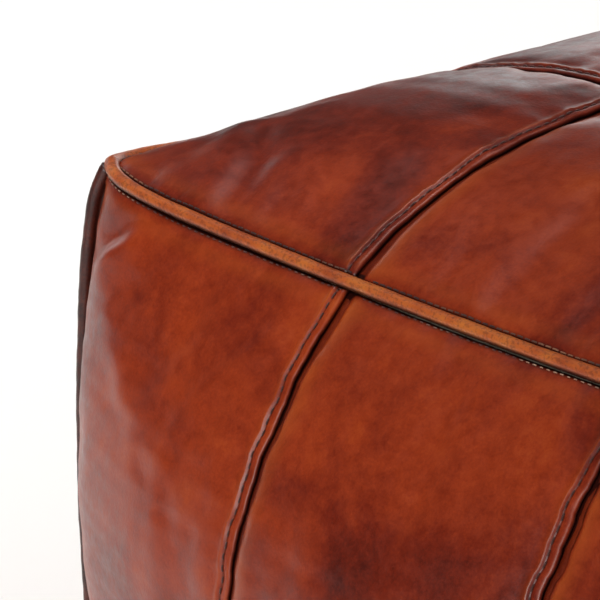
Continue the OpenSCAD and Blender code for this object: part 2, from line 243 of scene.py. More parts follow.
def baseSkin(u, w, cells=None):
    x, y = plan(u, w)
    square = pouf["baseSquare"]
    m = np.minimum(1, (np.abs(u) ** square + np.abs(w) ** square) ** (1 / square))
    s = np.maximum(0, (m - pouf["flatShare"]) / (1 - pouf["flatShare"])) ** pouf["basePower"]
    z = (baseLoop + pouf["baseLift"] * (1 - u * u * w * w)) * s
    if cells:
        across = np.clip((pouf["grooveHalf"] - np.abs(y)) / (pouf["grooveHalf"] - slotHalf), 0, 1)
        along = np.clip((zipHalf + pouf["grooveEnd"] - np.abs(x)) / pouf["grooveRamp"], 0, 1)
        z = z + pouf["grooveRise"] * across * along
    return np.stack([x, y, z], -1)


# Points of the front face, turned to another face
def turned(points, quarter):
    c, s = [(1, 0), (0, 1), (-1, 0), (0, -1)][quarter % 4]
    x, y = points[..., 0], points[..., 1]
    return np.stack([c * x - s * y, s * x + c * y, points[..., 2]], -1)


def normals(skin, u, v, flip=1):
    h = 0.002
    du = skin(np.minimum(u + h, 1), v) - skin(np.maximum(u - h, -1), v)
    dv = skin(u, np.minimum(v + h, 1)) - skin(u, np.maximum(v - h, -1))
    n = np.cross(du, dv) * flip
    return n / np.maximum(np.linalg.norm(n, axis=-1, keepdims=True), 1e-12)


# Metres of leather to one unit of u or v
def scaleAlong(skin, u, v, along):
    h = 0.01
    du, dv = (h, 0) if along == "u" else (0, h)
    highU, lowU = np.clip(u + du, -1, 1), np.clip(u - du, -1, 1)
    highV, lowV = np.clip(v + dv, -1, 1), np.clip(v - dv, -1, 1)
    step = skin(highU, highV) - skin(lowU, lowV)
    return np.linalg.norm(step, axis=-1) / (highU - lowU + (highV - lowV))


# Sum of sine waves of random phase along t, one for each span
def waves(t, seed, spans, heights):
    phase = np.random.default_rng(seed).random(len(spans)) * 2 * math.pi
    return sum(h * np.sin(2 * math.pi * t / s + p) for s, h, p in zip(spans, heights, phase))


# Meshes

def meshFrom(name, points, quads, attributes=None):
    points = np.asarray(points, np.float32).reshape(-1, 3)
    quads = np.asarray(quads, np.int32).reshape(-1, 4)
    mesh = bpy.data.meshes.new(name)
    mesh.vertices.add(len(points))
    mesh.vertices.foreach_set("co", points.ravel())
    mesh.loops.add(quads.size)
    mesh.loops.foreach_set("vertex_index", quads.ravel())
    mesh.polygons.add(len(quads))
    mesh.polygons.foreach_set("loop_start", np.arange(0, quads.size, 4, dtype=np.int32))
    mesh.polygons.foreach_set("use_smooth", np.ones(len(quads), bool))
    mesh.update(calc_edges=True)
    mesh.validate()
    for key, values in (attributes or {}).items():
        layer = mesh.attributes.new(key, "FLOAT", "POINT")
        layer.data.foreach_set("value", np.asarray(values, np.float32).ravel())
    return mesh


def makePiece(name, mesh, material, stands=()):
    piece = bpy.data.objects.new(name, mesh)
    bpy.context.scene.collection.objects.link(piece)
    mesh.materials.clear()
    mesh.materials.append(material)
    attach(piece, "cover")
    if stands:
        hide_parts(*stands)
    return piece


def gridQuads(rows, cols, start=0, reverse=False):
    a = (np.arange(rows - 1)[:, None] * cols + np.arange(cols - 1)[None, :]).ravel() + start
    quads = np.stack([a, a + 1, a + cols + 1, a + cols], -1)
    return quads[:, ::-1] if reverse else quads


def rimOf(rows, cols):
    return np.concatenate([
        np.arange(cols), np.arange(1, rows) * cols + cols - 1,
        (rows - 1) * cols + np.arange(cols - 2, -1, -1), np.arange(rows - 2, 0, -1) * cols])


# Outer grid, inner grid and the rim between them
def shellQuads(rows, cols):
    count = rows * cols
    a = rimOf(rows, cols)
    b = np.roll(a, -1)
    rim = np.stack([b, a, a + count, b + count], -1)
    return np.concatenate([gridQuads(rows, cols), gridQuads(rows, cols, count, True), rim])


# Edges of the panels in millimetres, from the inside of the panel outwards. outer is (distance in from
# the seam line, height above the skin, tone). A tone below 0 darkens: dye on the turned edges, and painted
# shade in the seam valleys, beside the piping and beside the zip. A tone above 0 lightens: rubbed wear, and
# a painted highlight on the ridges and rolled edges. inner is where the leather's inner face starts to bend
# and where it ends, then its depth at the start and its whole depth.
edgeShapes = {
    # folded edge that laps over its neighbour, with the groove of the stitches and a raised band; its ridge
    # is lightened for wear and a painted highlight, its turned side darkened for dye and painted shade
    "over": {
        "outer": [(16, 0, 0), (10, 0, 0), (7.4, 0.05, 0.1), (5.6, 0.15, 0.15), (4.6, 0.4, 0.2),
                  (3.9, 0.7, 0.3), (3.4, 0.82, 0.5), (2.95, 0.66, 0.1), (2.5, 0.25, -0.35),
                  (2.0, 0.08, -0.6), (1.5, 0.22, -0.3), (0.9, 0.55, 0.0), (0.2, 0.78, 0.05),
                  (-0.6, 0.84, 0.1), (-1.2, 0.74, 0.35), (-1.65, 0.5, 0.0), (-1.95, 0.12, -0.5),
                  (-2.05, -0.35, -0.8),
                  (-1.95, -0.85, -0.9), (-1.5, -1.15, -1), (-0.5, -1.25, -1), (1.5, -1.3, -1)],
        "inner": (6.0, 2.6, 1.4, 1.4),
    },
    # edge that dives under the folded one; its rolled rim is lightened as a painted highlight and its valley
    # darkened as painted shade
    "under": {
        "outer": [(16, 0, 0.1), (12, 0, 0.3), (9.4, -0.08, 0.5), (7.6, -0.3, 0.6), (6.4, -0.65, 0.2),
                  (5.6, -1.0, -0.4), (4.8, -1.4, -0.85), (4.1, -1.68, -1), (3.1, -1.83, -1),
                  (2.0, -1.87, -1), (0.5, -1.9, -1), (-2.5, -1.9, -1)],
        "inner": (4.0, -2.5, 1.3, 3.2),
    },
    # edge that rolls down to the piping and runs in along its flange; darkened next to the piping as painted
    # shade
    "piped": {
        "outer": [(20, 0, 0), (14, 0, 0.1), (10.5, 0, 0.25), (8.2, 0, 0.3), (6.6, -0.06, 0.2),
                  (5.4, -0.16, 0.1), (4.6, -0.26, -0.1), (4.0, -0.38, -0.35), (3.5, -0.5, -0.5),
                  (3.1, -0.75, -0.8), (2.8, -1.15, -1), (2.5, -1.7, -1), (2.15, -2.4, -1),
                  (1.85, -3.2, -1), (1.75, -4.6, -1)],
        "inner": (5.6, 3.2, 1.5, 4.8),
    },
    # edge turned in beside the zip; darkened where it turns in, as painted shade
    "hem": {
        "outer": [(12, 0, 0), (6, 0, 0), (3.0, 0, 0), (1.6, -0.05, 0.2), (0.8, -0.2, 0.3), (0.3, -0.5, 0),
                  (0.1, -0.9, -0.6), (0.3, -1.3, -1)],
        "inner": (4.0, 0.6, 1.5, 1.6),
    },
}
sewing = {
    "rowIn": {"over": 2.0, "piped": 3.5},  # where each edge's row of stitches runs, in from the seam line
    "wanderSpans": (0.31, 0.13, 0.052), "wanderHeights": (0.5, 0.3, 0.14), "wanderReach": 9.0,
    "innerDepth": 1.4, "inset": 0.012, "leastScale": 0.85, "threadLift": 0.08,
}


# One direction across a panel: where each grid line lies between two edges
def lane(lowKind, highKind, inside):
    low = edgeShapes[lowKind]["outer"][::-1]
    high = edgeShapes[highKind]["outer"]
    first, last = low[-1][0], high[0][0]
    fractions = [(k + 1) / (inside + 1) for k in range(inside)]
    groups = [(0, o, last, h, t) for o, h, t in low] + [(f, first, last, 0, 0) for f in fractions]
    groups += [(1, first, o, h, t) for o, h, t in high]
    share, fromLow, fromHigh, height, tone = np.array(groups, float).T
    innerLow, innerHigh = fromLow.copy(), fromHigh.copy()
    innerHeight = np.full(len(share), -sewing["innerDepth"])
    for kind, values, mask in ((lowKind, innerLow, share == 0), (highKind, innerHigh, share == 1)):
        start, end, depthStart, depthEnd = edgeShapes[kind]["inner"]
        count = int(np.sum(mask))
        order = np.arange(count) if mask[-1] else np.arange(count)[::-1]
        offsets = values[mask]
        bent = offsets < start
        bent |= order > np.max(order[~bent])
        firstBent = np.min(order[bent])
        t = np.clip((order - firstBent) / max(1, count - 1 - firstBent), 0, 1)
        values[mask] = np.where(bent, start + (end - start) * t, offsets)
        innerHeight[mask] = np.where(bent, -depthStart - (depthEnd - depthStart) * t, innerHeight[mask])
    return {"share": share, "low": fromLow * mm, "high": fromHigh * mm, "height": height * mm, "tone": tone,
            "innerLow": innerLow * mm, "innerHigh": innerHigh * mm, "innerHeight": innerHeight * mm,
            "kinds": (lowKind, highKind)}


# Places along one lane, for every line of the other: low and high are the seam lines' own places
def across(way, low, high, lowScale, highScale, lowWave=0, highWave=0, inner=False):
    a, b = (way["innerLow"], way["innerHigh"]) if inner else (way["low"], way["high"])
    f = way["share"]
    reach = sewing["wanderReach"] * mm
    fromLow = a + lowWave * np.exp(-(a / reach) ** 2)
    fromHigh = b + highWave * np.exp(-(b / reach) ** 2)
    return (1 - f) * (low + fromLow / lowScale) + f * (high - fromHigh / highScale)


# Height where two edges meet: dips add up as a round corner, bumps as they are
def joined(first, second):
    down = -np.hypot(np.minimum(first, 0), np.minimum(second, 0))
    return down + np.maximum(first, 0) + np.maximum(second, 0)


# Soft folds of a face, metres outwards: each is (x, y, angle, length, width, depth), with a hollow beside
# its ridge
foldShape = {"bend": 0.12, "hollow": 0.6, "aside": 1.3}


def foldHeight(folds, x, y):
    total = np.zeros_like(x)
    for cx, cy, angle, length, width, depth in folds:
        a = math.radians(angle)
        dx, dy = x - cx, y - cy
        along = (dx * math.cos(a) + dy * math.sin(a)) / length
        bend = foldShape["bend"] * length * along * along
        side = (-dx * math.sin(a) + dy * math.cos(a) + bend) / width
        hollow = foldShape["hollow"] * np.exp(-(side - foldShape["aside"]) ** 2)
        total += depth * np.exp(-along ** 2) * (np.exp(-side ** 2) - hollow)
    return total


# One panel: grid of outer and inner points, the way out and the tones
def panel(skin, cells, uEdges, vEdges, ways, quarter=0, folds=(), slack=None, seeds=(0, 0, 0, 0), flip=1):
    uWay, vWay = ways
    uLow, uHigh = uEdges
    vLow, vHigh = vEdges
    middleV = (1 - vWay["share"]) * np.mean(vLow) + vWay["share"] * vHigh
    middleU = (1 - uWay["share"]) * uLow + uWay["share"] * uHigh
    limit = 1 - sewing["inset"]
    heights = [h * mm for h in sewing["wanderHeights"]]

    # Scale at the two edges of a lane, kept from shrinking to nothing at the corners
    def edgeScales(places, along):
        scales = [scaleAlong(skin, u, v, along) for u, v in places]
        return [np.maximum(scale, sewing["leastScale"] * np.median(scale)) for scale in scales]

    def places(inner):
        n, m = len(uWay["share"]), len(vWay["share"])
        vLine = np.clip(middleV, -limit, limit)[:, None]
        uLine = np.clip(middleU, -limit, limit)[None, :]
        nearU = [np.full((m, 1), np.clip(e, -limit, limit)) for e in (uLow, uHigh)]
        nearV = [np.clip(vLow if np.ndim(vLow) else np.full((1, n), vLow), -limit, limit),
                 np.full((1, n), np.clip(vHigh, -limit, limit))]
        scalesU = edgeScales([(e, vLine) for e in nearU], "u")
        scalesV = edgeScales([(uLine, e) for e in nearV], "v")
        tV, tU = middleV[:, None], middleU[None, :]
        wander = []
        for kind, seed, t in zip(uWay["kinds"] + vWay["kinds"], seeds, (tV, tV, tU, tU)):
            size = 0 if kind == "piped" else waves(t, seed, sewing["wanderSpans"], heights)
            wander.append(-size if kind == "over" else size)
        turnedWay = {k: (v[:, None] if isinstance(v, np.ndarray) else v) for k, v in vWay.items()}
        u = across(uWay, uLow, uHigh, *scalesU, *wander[:2], inner)
        v = across(turnedWay, vLow, vHigh, *scalesV, *wander[2:], inner)
        u, v = np.broadcast_arrays(u, v)
        return np.clip(u, -1, 1), np.clip(v, -1, 1)

    def surface(u, v):
        base = skin(u, v, cells)
        if slack is not None:
            base = base + slackAt(slack, u, v)
        lift = foldHeight(folds, u * loopHalf, v * loopHalf) if len(folds) else 0
        return base, normals(skin, u, v, flip), lift

    u, v = places(False)
    base, out, lift = surface(u, v)
    pull = puckers(uWay, vWay, u, v, seeds)
    height = joined(uWay["height"][None, :], vWay["height"][:, None]) + pull + lift
    outer = base + out * height[..., None]
    innerBase, innerOut, innerLift = surface(*places(True))
    depth = np.minimum(uWay["innerHeight"][None, :], vWay["innerHeight"][:, None])
    inner = innerBase + innerOut * (depth + innerLift)[..., None]
    tone = np.clip(uWay["tone"][None, :] + vWay["tone"][:, None], -1, 1)
    return {"outer": turned(outer, quarter), "inner": turned(inner, quarter), "out": turned(out, quarter),
            "tone": tone}


# Leather drawn down at each stitch and gathered a little between them
pucker = {
    "pitch": 4.2, "depth": 0.16, "reach": 5.0, "offset": 1.4,
    "gather": 0.22, "fade": 14, "rise": 6, "spans": (0.0210, 0.0333, 0.0147), "heights": (0.5, 0.6, 0.35),
}


def puckers(uWay, vWay, u, v, seeds):
    total = np.zeros_like(u)
    row, column = (None, slice(None)), (slice(None), None)
    for way, pick, t, first in ((uWay, row, v, 0), (vWay, column, u, 2)):
        for end, side in enumerate(("low", "high")):
            kind, seed = way["kinds"][end], seeds[first + end]
            if kind == "hem":
                continue
            offset, share = way[side][pick], way["share"][pick]
            mask = share > 0 if end else share < 1
            length = t * loopHalf
            centre = sewing["rowIn"].get(kind, 2.0) * mm
            near = np.exp(-((offset - centre - pucker["offset"] * mm) / (pucker["reach"] * mm / 2)) ** 2)
            far = np.exp(-np.maximum(0, offset - centre) / (pucker["fade"] * mm))
            far = far * np.clip(offset / (pucker["rise"] * mm), 0, 1)
            beads = np.cos(2 * math.pi * length / (pucker["pitch"] * mm) + seed)
            gather = waves(length, seed + 40, pucker["spans"], pucker["heights"])
            pull = (pucker["depth"] * near * beads + pucker["gather"] * far * gather) * mm
            total += np.where(mask, pull, 0)
    return total


# Slack of the leather over the stuffing, found as cloth: each face is a sheet sewn down along its
# seams and edges, cut a little too large and blown outwards
cloth = {
    "cells": 26, "rows": 44, "frames": 18, "quality": 6, "mass": 0.4, "jitter": 0.05,
    "stretch": 25, "shear": 12, "bending": 0.6, "drag": 2, "pressure": 2.2, "shrink": -0.035,
    "cap": 4.5, "slowSpan": 7, "keepSlow": 0.15, "calm": 0.16, "keep": 0.6,
}


def clothLines(count):
    thirds = [np.linspace(edges[k], edges[k + 1], count + 1) for k in range(3)]
    return np.concatenate([thirds[0], thirds[1][1:], thirds[2][1:]])


def simulateCover():
    us = clothLines(cloth["cells"])
    grids, blocks, pins, quads = [], [], [], []
    start, hair, top = 0, 0.001, 4
    for face in range(5):
        vs = clothLines(cloth["cells"]) if face == top else np.linspace(-1, 1, cloth["rows"] + 1)
        u, v = np.meshgrid(us, vs)
        points = topSkin(u, v) if face == top else turned(sideSkin(u, v), face)
        pinned = (np.abs(u) > 1 - hair) | (np.abs(v) > 1 - hair) | (np.abs(np.abs(u) - seam) < hair)
        if face == top:
            pinned |= np.abs(np.abs(v) - seam) < hair
        quads.append(gridQuads(len(vs), len(us), start))
        blocks.append((start, vs))
        start += u.size
        grids.append(points.reshape(-1, 3))
        pins.append(pinned.ravel())
    rest = np.concatenate(grids)
    held = np.concatenate(pins)
    mesh = meshFrom("cover_cloth", rest, np.concatenate(quads))
    body = bpy.data.objects.new("cover_cloth", mesh)
    bpy.context.scene.collection.objects.link(body)
    group = body.vertex_groups.new(name="sewn")
    group.add([int(i) for i in np.nonzero(held)[0]], 1.0, "REPLACE")
    jitter = np.random.default_rng(5).normal(0, cloth["jitter"] * mm, rest.shape) * ~held[:, None]
    mesh.vertices.foreach_set("co", (rest + jitter).astype(np.float32).ravel())
    modifier = body.modifiers.new("cloth", "CLOTH")
    s = modifier.settings
    s.quality = cloth["quality"]
    s.mass = cloth["mass"]
    s.tension_stiffness = s.compression_stiffness = cloth["stretch"]
    s.shear_stiffness = cloth["shear"]
    s.bending_stiffness = cloth["bending"]
    s.air_damping = cloth["drag"]
    s.shrink_min = s.shrink_max = cloth["shrink"]
    s.use_pressure = True
    s.uniform_pressure_force = cloth["pressure"]
    s.vertex_group_mass = "sewn"
    s.effector_weights.gravity = 0
    modifier.point_cache.frame_start = 1
    modifier.point_cache.frame_end = cloth["frames"]
    for number in range(1, cloth["frames"] + 1):
        bpy.context.scene.frame_set(number)
    shaped = body.evaluated_get(bpy.context.evaluated_depsgraph_get())
    moved = np.empty(len(rest) * 3, np.float32)
    shaped.data.vertices.foreach_get("co", moved)
    change = moved.reshape(-1, 3).astype(float) - rest
    bpy.data.objects.remove(body)
    bpy.context.scene.frame_set(1)
    fields = []
    for start, vs in blocks:
        field = change[start:start + len(vs) * len(us)].reshape(len(vs), len(us), 3)
        slow = field
        for _ in range(cloth["slowSpan"]):
            padded = np.pad(slow, ((1, 1), (1, 1), (0, 0)), "edge")
            beside = padded[:-2, 1:-1] + padded[2:, 1:-1] + padded[1:-1, :-2] + padded[1:-1, 2:]
            slow = (beside + slow * 4) / 8
        field = field - (1 - cloth["keepSlow"]) * slow
        size = np.linalg.norm(field, axis=-1, keepdims=True)
        field = field * np.minimum(1, cloth["cap"] * mm / np.maximum(size, 1e-9))
        calm = np.clip((1 - np.abs(us)) / cloth["calm"], 0, 1)[None, :, None]
        fields.append({"us": us, "vs": vs, "field": field * calm * cloth["keep"]})
    print("cover cloth: largest move", round(float(np.abs(change).max()) / mm, 2), "mm")
    return fields


# Smooth reading of a sheet's moves between its grid lines
def slackAt(slack, u, v):
    field = slack["field"]
    i = np.interp(u, slack["us"], np.arange(len(slack["us"])))
    j = np.interp(v, slack["vs"], np.arange(len(slack["vs"])))
    total = 0

    def weights(x):
        whole = np.floor(x).astype(int)
        f = x - whole
        return whole, [(1 - f) ** 3 / 6, (3 * f ** 3 - 6 * f ** 2 + 4) / 6,
                       (-3 * f ** 3 + 3 * f ** 2 + 3 * f + 1) / 6, f ** 3 / 6]

    iw, wi = weights(i)
    jw, wj = weights(j)
    for a in range(4):
        for b in range(4):
            jj = np.clip(jw + a - 1, 0, field.shape[0] - 1)
            ii = np.clip(iw + b - 1, 0, field.shape[1] - 1)
            total = total + field[jj, ii] * (wj[a] * wi[b])[..., None]
    return total


slacks = simulateCover()
print("cover settled")


# Materials

# Sum of values, each by its share
def mixture(tree, shares):
    parts = [addNode(tree, "ShaderNodeMath", {0: value, 1: share}, operation="MULTIPLY")
             for value, share in shares]
    total = parts[0]
    for part in parts[1:]:
        total = addNode(tree, "ShaderNodeMath", {0: total, 1: part}, operation="ADD")
    return total


# Noises by name, each given as the width of its largest grains in metres, its detail, its roughness and
# how far it is twisted
def grains(tree, place, sizes):
    return {name: addNode(tree, "ShaderNodeTexNoise",
                          {"Vector": place, "Scale": 1 / size, "Detail": detail, "Roughness": rough,
                           "Distortion": twist})
            for name, (size, detail, rough, twist) in sizes.items()}


# Vegetable-tanned goatskin, dyed by hand in several coats and waxed: blotches of deep and bright
# brown-red, rubbed lighter on its ridges with a painted highlight there as well, dark in the seams where
# the dye pools and as painted shade, fine pebbled grain
dye = {
    "panels": ("#4a1209", "#74210d", "#963413", "#ad481a", "#bd5a22"),
    "base": ("#2a0c07", "#43150c", "#5a2012", "#6d2b17", "#7a3520"),
    "stops": (0.33, 0.44, 0.56, 0.68), "pooledDyeAndShade": "#1c0605", "pore": 0.0011,
    "grains": {"blotch": (0.062, 4, 0.55, 0.6), "streak": (0.018, 5, 0.6, 0.4),
               "mottle": (0.0045, 4, 0.65, 0), "speck": (0.0011, 2, 0.6, 0), "crease": (0.0065, 5, 0.6, 1.2)},
    "shares": {"blotch": 0.54, "streak": 0.18, "mottle": 0.15, "speck": 0.13}, "shade": 0.2,
}


def dyedLeather(name, colours, gloss, wax):
    material, tree, shader = newMaterial(name)
    place = addNode(tree, "ShaderNodeTexCoord", {}, "Object")
    tone = addNode(tree, "ShaderNodeAttribute", {}, "Fac", attribute_name="tone")
    shade = addNode(tree, "ShaderNodeAttribute", {}, "Fac", attribute_name="shade")
    grain = grains(tree, place, dye["grains"])
    shares = [(grain[key], share) for key, share in dye["shares"].items()]
    level = mixture(tree, shares + [(shade, dye["shade"])])
    body = addNode(tree, "ShaderNodeValToRGB", {0: level}, stops=zip(dye["stops"], colours))
    # Lighter where the tone is above 0: rubbed wear, and a painted highlight on the ridges and rolled edges
    ridges = addNode(tree, "ShaderNodeMapRange", {0: tone, 1: 0.1, 2: 1.0, 3: 0.0, 4: 1.0})
    patchy = addNode(tree, "ShaderNodeMapRange", {0: grain["streak"], 1: 0.3, 2: 0.65, 3: 0.35, 4: 0.8})
    wornAndHighlit = addNode(tree, "ShaderNodeMath", {0: ridges, 1: patchy}, operation="MULTIPLY")
    rubbedAndHighlit = addNode(tree, "ShaderNodeMix", {0: wornAndHighlit, 6: body, 7: linear(colours[-1])}, 2, data_type="RGBA")
    # Darker where the tone is below 0: dye on the turned edges, and painted shade in the seam valleys, beside
    # the piping and the zip, and on the inner faces
    seams = addNode(tree, "ShaderNodeMapRange", {0: tone, 1: -0.05, 2: -0.95, 3: 0.0, 4: 1.0})
    pooledDyeAndShade = addNode(tree, "ShaderNodeMath", {0: seams, 1: 0.93}, operation="MULTIPLY")
    colour = addNode(tree, "ShaderNodeMix", {0: pooledDyeAndShade, 6: rubbedAndHighlit, 7: linear(dye["pooledDyeAndShade"])}, 2,
                     data_type="RGBA")
    pores = addNode(tree, "ShaderNodeTexVoronoi",
                    {"Vector": place, "Scale": 1 / dye["pore"], "Smoothness": 0.6}, "Distance",
                    feature="SMOOTH_F1")
    rough = addNode(tree, "ShaderNodeMapRange",
                    {0: grain["mottle"], 1: 0.3, 2: 0.7, 3: gloss - 0.05, 4: gloss + 0.09})
    fine = addNode(tree, "ShaderNodeBump", {"Strength": 0.16, "Distance": 0.00022, "Height": pores})
    normal = addNode(tree, "ShaderNodeBump",
                     {"Strength": 0.12, "Distance": 0.0009, "Height": grain["crease"], "Normal": fine})
    fill(tree, shader, {"Base Color": colour, "Roughness": rough, "Normal": normal, "IOR": 1.5,
                        "Specular IOR Level": 0.33, "Coat Weight": wax, "Coat Roughness": 0.24,
                        "Coat IOR": 1.45})
    return material


# The same skin in strips that are pulled thin over the cord: tan, rubbed to its grain, with dye left in
# its pores, and painted shade along its lower side and on its plies between the panels
def pipingLeather(name, colours, gloss):
    material, tree, shader = newMaterial(name)
    place = addNode(tree, "ShaderNodeTexCoord", {}, "Object")
    tone = addNode(tree, "ShaderNodeAttribute", {}, "Fac", attribute_name="tone")
    grain = grains(tree, place, {"patch": (0.014, 4, 0.6, 0), "pebble": (0.0013, 2, 0.6, 0)})
    body = addNode(tree, "ShaderNodeValToRGB", {0: grain["patch"]}, stops=zip((0.32, 0.5, 0.68), colours))
    flecks = addNode(tree, "ShaderNodeMapRange", {0: grain["pebble"], 1: 0.5, 2: 0.62, 3: 0.0, 4: 1.0})
    dyed = addNode(tree, "ShaderNodeMath", {0: flecks, 1: 0.45}, operation="MULTIPLY")
    flecked = addNode(tree, "ShaderNodeMix", {0: dyed, 6: body, 7: linear(colours[3])}, 2, data_type="RGBA")
    # Painted shade: darker on the lower side of the round and on the plies between the panels
    under = addNode(tree, "ShaderNodeMapRange", {0: tone, 1: -0.1, 2: -1.0, 3: 0.0, 4: 1.0})
    colour = addNode(tree, "ShaderNodeMix", {0: under, 6: flecked, 7: linear("#1d0806")}, 2, data_type="RGBA")
    pitted = addNode(tree, "ShaderNodeMath", {0: flecks, 1: -0.6}, operation="MULTIPLY")
    relief = addNode(tree, "ShaderNodeMath", {0: grain["pebble"], 1: pitted}, operation="ADD")
    normal = addNode(tree, "ShaderNodeBump", {"Strength": 0.35, "Distance": 0.0003, "Height": relief})
    rough = addNode(tree, "ShaderNodeMapRange",
                    {0: grain["pebble"], 1: 0.3, 2: 0.7, 3: gloss, 4: gloss + 0.14})
    fill(tree, shader, {"Base Color": colour, "Roughness": rough, "Normal": normal, "Coat Weight": 0.15,
                        "Coat Roughness": 0.25, "IOR": 1.5})
    return material


# Waxed linen or soft cotton thread: twisted plies, dull, and stained in patches where dyed is given
def twistedThread(name, light, dark, dyed=None):
    material, tree, shader = newMaterial(name)
    place = addNode(tree, "ShaderNodeTexCoord", {}, "Object")
    plies = addNode(tree, "ShaderNodeTexWave", {"Vector": place, "Scale": 1 / 0.0009, "Distortion": 2.0},
                    "Fac", wave_type="BANDS", bands_direction="DIAGONAL")
    colour = addNode(tree, "ShaderNodeMix", {0: plies, 6: linear(dark), 7: linear(light)}, 2,
                     data_type="RGBA")
    if dyed:
        patch = grains(tree, place, {"patch": (0.05, 2, 0.5, 0)})["patch"]
        stain = addNode(tree, "ShaderNodeMapRange", {0: patch, 1: 0.58, 2: 0.46, 3: 0.0, 4: 1.0})
        colour = addNode(tree, "ShaderNodeMix", {0: stain, 6: colour, 7: linear(dyed)}, 2, data_type="RGBA")
    normal = addNode(tree, "ShaderNodeBump", {"Strength": 0.4, "Distance": 0.0001, "Height": plies})
    fill(tree, shader, {"Base Color": colour, "Roughness": 0.7, "Normal": normal, "Sheen Weight": 0.2})
    return material


# Woven cloth: two crossing sets of threads, a little soiled
def wovenCloth(name, light, dark, thread):
    material, tree, shader = newMaterial(name)
    place = addNode(tree, "ShaderNodeTexCoord", {}, "Object")
    sets = [addNode(tree, "ShaderNodeTexWave",
                    {"Vector": place, "Scale": 1 / (thread * 6.3) * 2, "Distortion": 0.4}, "Fac",
                    wave_type="BANDS", bands_direction=way) for way in ("X", "Y")]
    weave = addNode(tree, "ShaderNodeMath", {0: sets[0], 1: sets[1]}, operation="MULTIPLY")
    soil = grains(tree, place, {"soil": (0.03, 4, 0.5, 0)})["soil"]
    soiled = mixture(tree, [(weave, 0.6), (soil, 0.4)])
    colour = addNode(tree, "ShaderNodeMix", {0: soiled, 6: linear(dark), 7: linear(light)}, 2,
                     data_type="RGBA")
    normal = addNode(tree, "ShaderNodeBump", {"Strength": 0.5, "Distance": 0.0002, "Height": weave})
    fill(tree, shader, {"Base Color": colour, "Roughness": 0.9, "Normal": normal, "Sheen Weight": 0.3,
                        "Sheen Roughness": 0.5})
    return material


# Carded wadding: loose pale fibres with no gloss
def looseWadding(name):
    material, tree, shader = newMaterial(name)
    place = addNode(tree, "ShaderNodeTexCoord", {}, "Object")
    grain = grains(tree, place, {"fibres": (0.004, 8, 0.7, 3.0), "tufts": (0.03, 4, 0.6, 0)})
    loose = addNode(tree, "ShaderNodeMath", {0: grain["fibres"], 1: grain["tufts"]}, operation="MULTIPLY")
    colour = addNode(tree, "ShaderNodeMix", {0: loose, 6: linear("#cfc6b2"), 7: linear("#f4efe2")}, 2,
                     data_type="RGBA")
    normal = addNode(tree, "ShaderNodeBump", {"Strength": 0.8, "Distance": 0.002, "Height": grain["fibres"]})
    fill(tree, shader, {"Base Color": colour, "Roughness": 0.95, "Normal": normal, "Sheen Weight": 0.4})
    return material


# Die-cast brass, tumbled and lacquered, dulled in its hollows
def zipBrass(name, light, dark, roughness):
    material, tree, shader = newMaterial(name)
    place = addNode(tree, "ShaderNodeTexCoord", {}, "Object")
    drawn = addNode(tree, "ShaderNodeMapping", {"Vector": place, "Scale": (0.15, 1, 1)})
    dull = grains(tree, place, {"dull": (0.004, 5, 0.6, 0)})["dull"]
    scratches = grains(tree, drawn, {"scratch": (0.0006, 4, 0.7, 0)})["scratch"]
    hollows = addNode(tree, "ShaderNodeMapRange", {0: dull, 1: 0.35, 2: 0.7, 3: 0.0, 4: 1.0})
    colour = addNode(tree, "ShaderNodeMix", {0: hollows, 6: linear(light), 7: linear(dark)}, 2,
                     data_type="RGBA")
    rough = addNode(tree, "ShaderNodeMapRange",
                    {0: dull, 1: 0.3, 2: 0.7, 3: roughness - 0.08, 4: roughness + 0.14})
    normal = addNode(tree, "ShaderNodeBump", {"Strength": 0.15, "Distance": 0.0001, "Height": scratches})
    fill(tree, shader, {"Base Color": colour, "Metallic": 1.0, "Normal": normal, "Roughness": rough})
    return material


panelLeather = dyedLeather("hand_dyed_goatskin", dye["panels"], 0.37, 0.14)
baseLeather = dyedLeather("matt_dyed_split", dye["base"], 0.55, 0.05)
tanPiping = pipingLeather("tan_piping_skin", ["#9c431b", "#b95a25", "#c06a2a", "#54200f"], 0.38)
darkWelt = pipingLeather("dark_welt_skin", ["#2a0d0a", "#45190f", "#5c2416", "#180706"], 0.34)
darkThread = twistedThread("waxed_thread_dark", "#5a2416", "#2a0e09")
stainedThread = twistedThread("waxed_thread_stained", "#a8754f", "#5a2c1b", "#2c100a")
creamThread = twistedThread("waxed_thread_cream", "#c9a184", "#8c5c40", "#4a1a0f")
cordCotton = twistedThread("cotton_cord", "#d8ccb2", "#a99a7c")
tapeCloth = wovenCloth("herringbone_tape", "#3a2820", "#1b110d", 0.0006)
linerCloth = wovenCloth("calico_lining", "#eae2cf", "#cfc4aa", 0.0009)
wadding = looseWadding("carded_wadding")
brass = zipBrass("tumbled_brass", "#c9a764", "#7c6134", 0.34)
print("materials ready")


# Panels of the top and the sides

rowNames = ("front", "middle", "back")
columnNames = ("left", "middle", "right")
sideColumns = (("front_left", "front_middle", "front_right"), ("right_front", "right_middle", "right_back"),
               ("back_right", "back_middle", "back_left"), ("left_back", "left_middle", "left_front"))
# Lines of each grid between its edges, and the lines left free of stitches at the ends of a row
panelLines = {"inside": 44, "alongSide": 96, "baseLong": 90, "baseAcross": 50, "topTrim": 9, "trim": 10}

# Dye of each piece against the rest, cut from different skins
shades = np.random.default_rng(11).uniform(-0.35, 0.35, 21)

